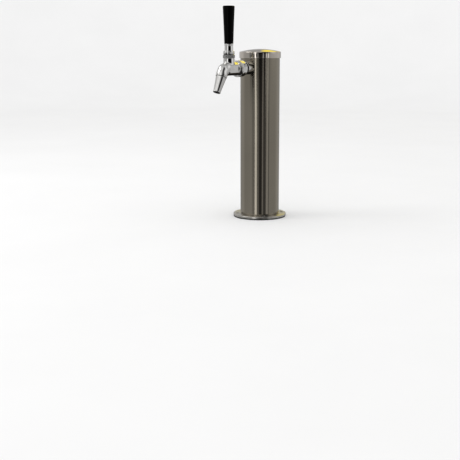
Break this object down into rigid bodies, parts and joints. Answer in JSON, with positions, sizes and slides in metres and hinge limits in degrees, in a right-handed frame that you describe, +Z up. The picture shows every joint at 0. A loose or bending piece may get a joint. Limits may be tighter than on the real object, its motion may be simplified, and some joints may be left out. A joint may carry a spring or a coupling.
{
  "type": "beer tap tower",
  "caption": "Counter-top beer tap tower: round column on a screwed base flange, push-on domed cap, shank and coupling nut, ball-lever faucet with a tapered spout and an upright handle.",
  "frame": {"origin": "centre of the base of the whole object's bounding box, on the counter plane under the base gasket", "axes": "+Z up, -Y is the front, where the faucet points, +X is to the right seen from the front"},
  "size_m": [0.104, 0.1956, 0.404],
  "materials": {
    "gasket_rubber": "black moulded rubber",
    "flange_steel": "satin turned stainless steel",
    "spigot_steel": "turned stainless steel",
    "column_steel": "stainless tube, fine vertical brushing, satin",
    "liner_foam": "closed-cell insulation foam",
    "cap_steel": "spun and brushed stainless steel",
    "cap_ring_rubber": "black rubber",
    "shank_steel": "turned stainless steel with a cut thread",
    "collar_chrome": "polished chrome",
    "washer_steel": "pressed steel",
    "lock_nut_steel": "machined steel",
    "tailpiece_steel": "turned stainless steel",
    "tailpiece_rubber": "black rubber",
    "tailpiece_nut_steel": "machined steel",
    "nut_chrome": "polished chrome",
    "faucet_rubber": "black rubber",
    "faucet_steel": "polished cast stainless steel",
    "spout_steel": "polished stainless steel",
    "spout_rubber": "black rubber",
    "ball_rubber": "black rubber",
    "bearing_nylon": "natural nylon",
    "bonnet_steel": "knurled stainless steel",
    "shuttle_steel": "turned stainless steel",
    "seat_rubber": "black rubber",
    "lever_steel": "polished stainless steel",
    "lever_collar_chrome": "polished chrome",
    "ferrule_chrome": "polished chrome",
    "insert_brass": "machined brass",
    "grip_plastic": "glossy black moulded plastic"
  },
  "bodies": {
    "column": {"base_gasket": "gasket_rubber", "base_flange": "flange_steel", "column_spigot": "spigot_steel", "column_tube": "column_steel", "foam_liner": "liner_foam", "shank": "shank_steel", "shank_collar": "collar_chrome", "inner_saddle_washer": "washer_steel", "shank_lock_nut": "lock_nut_steel", "tailpiece_elbow": "tailpiece_steel", "tailpiece_washer": "tailpiece_rubber", "tailpiece_nut": "tailpiece_nut_steel", "coupling_nut": "nut_chrome", "faucet_washer": "faucet_rubber", "faucet_body": "faucet_steel", "spout": "spout_steel", "spout_oring": "spout_rubber", "ball_seal_oring": "ball_rubber", "ball_bearing_ring": "bearing_nylon", "bonnet": "bonnet_steel"},
    "cap": {"top_cap": "cap_steel", "cap_grip_ring": "cap_ring_rubber"},
    "handle": {"lever": "lever_steel", "lever_collar": "lever_collar_chrome", "handle_ferrule": "ferrule_chrome", "handle_insert": "insert_brass", "handle_grip": "grip_plastic"},
    "shuttle": {"shuttle": "shuttle_steel", "shuttle_seal": "seat_rubber"}
  },
  "joints": [
    {"name": "lever_tilt", "type": "hinge", "parent": "column", "child": "handle", "pos_m": [0, -0.05425, 0.3044], "axis": [1, 0, 0], "range_deg": [0, 28]},
    {"name": "shuttle_travel", "type": "slide", "parent": "column", "child": "shuttle", "axis": [0, 1, 0], "range_m": [0, 0.0067]},
    {"name": "cap_lift", "type": "slide", "parent": "column", "child": "cap", "axis": [0, 0, 1], "range_m": [0, 0.04]}
  ],
  "couplings": [
    {"joint": "shuttle_travel", "follows": "lever_tilt", "m_per_rad": 0.013353}
  ]
}
